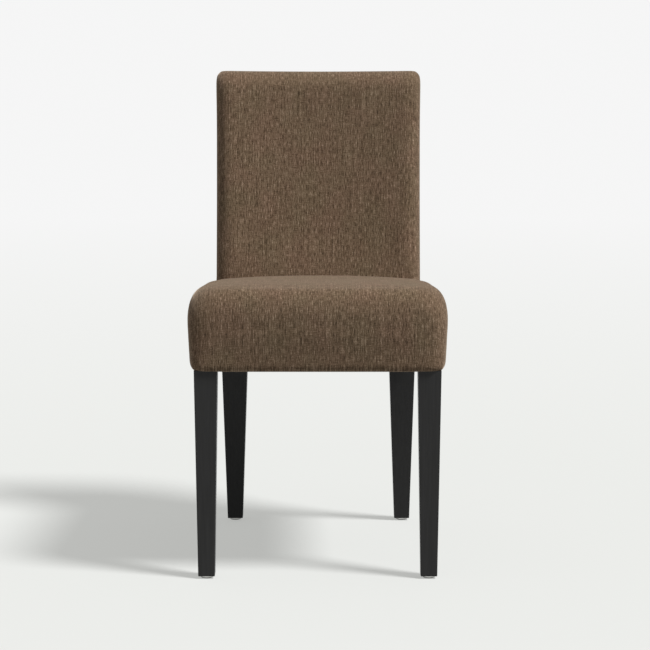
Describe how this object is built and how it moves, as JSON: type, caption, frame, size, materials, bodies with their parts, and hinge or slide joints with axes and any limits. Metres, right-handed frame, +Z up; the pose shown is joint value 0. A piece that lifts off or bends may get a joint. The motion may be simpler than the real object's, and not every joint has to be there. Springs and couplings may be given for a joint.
{
  "type": "upholstered dining chair",
  "caption": "Armless dining chair with a padded, fabric-covered seat and raked back on square tapered dark wooden legs.",
  "frame": {"origin": "on the floor, under the middle of the chair's bounding box", "axes": "+Z up, -Y towards the front of the seat, +X towards the right-hand side as seen from the front"},
  "size_m": [0.4652, 0.5914, 0.895],
  "materials": {
    "leg_lacquer": "satin near-black lacquer",
    "frame_wood": "sawn and planed, bare",
    "dowel_wood": "smooth, bare",
    "screw_steel": "yellow zinc plated",
    "spring_steel": "oil tempered, dark",
    "clip_steel": "zinc plated",
    "tack_steel": "blued",
    "insulator_cloth": "non-woven, matte",
    "foam": "open-cell foam, matte",
    "batting": "loose fibre, matte",
    "cover_fabric": "heathered brown weave, matte",
    "dust_cloth": "non-woven, matte",
    "webbing": "coarse weave, matte",
    "card": "pressed paper board",
    "glide_metal": "bright nickel plate"
  },
  "bodies": {
    "root": {"front_leg_left": "leg_lacquer", "front_leg_right": "leg_lacquer", "rear_post_left": "leg_lacquer", "rear_post_right": "leg_lacquer", "front_rail": "frame_wood", "rear_rail": "frame_wood", "side_rail_left": "frame_wood", "side_rail_right": "frame_wood", "back_lower_rail": "frame_wood", "back_top_rail": "frame_wood", "front_corner_block_left": "frame_wood", "front_corner_block_right": "frame_wood", "rear_corner_block_left": "frame_wood", "rear_corner_block_right": "frame_wood", "seat_frame_dowels": "dowel_wood", "back_frame_dowels": "dowel_wood", "corner_block_screws": "screw_steel", "seat_spring_1": "spring_steel", "seat_spring_2": "spring_steel", "seat_spring_3": "spring_steel", "seat_spring_4": "spring_steel", "seat_spring_5": "spring_steel", "spring_clips_front": "clip_steel", "spring_clips_rear": "clip_steel", "spring_clip_nails": "tack_steel", "strap_tacks": "tack_steel", "dust_cover_tacks": "tack_steel", "spring_insulator": "insulator_cloth", "seat_foam": "foam", "back_foam": "foam", "seat_batting": "batting", "back_batting": "batting", "seat_cover": "cover_fabric", "back_cover": "cover_fabric", "outside_back_panel": "cover_fabric", "dust_cover": "dust_cloth", "back_strap_1": "webbing", "back_strap_2": "webbing", "back_strap_3": "webbing", "back_strap_4": "webbing", "back_strap_5": "webbing", "back_stiffener": "card", "back_tack_strips": "card", "glide_front_left": "glide_metal", "glide_front_right": "glide_metal", "glide_rear_left": "glide_metal", "glide_rear_right": "glide_metal"}
  },
  "joints": []
}
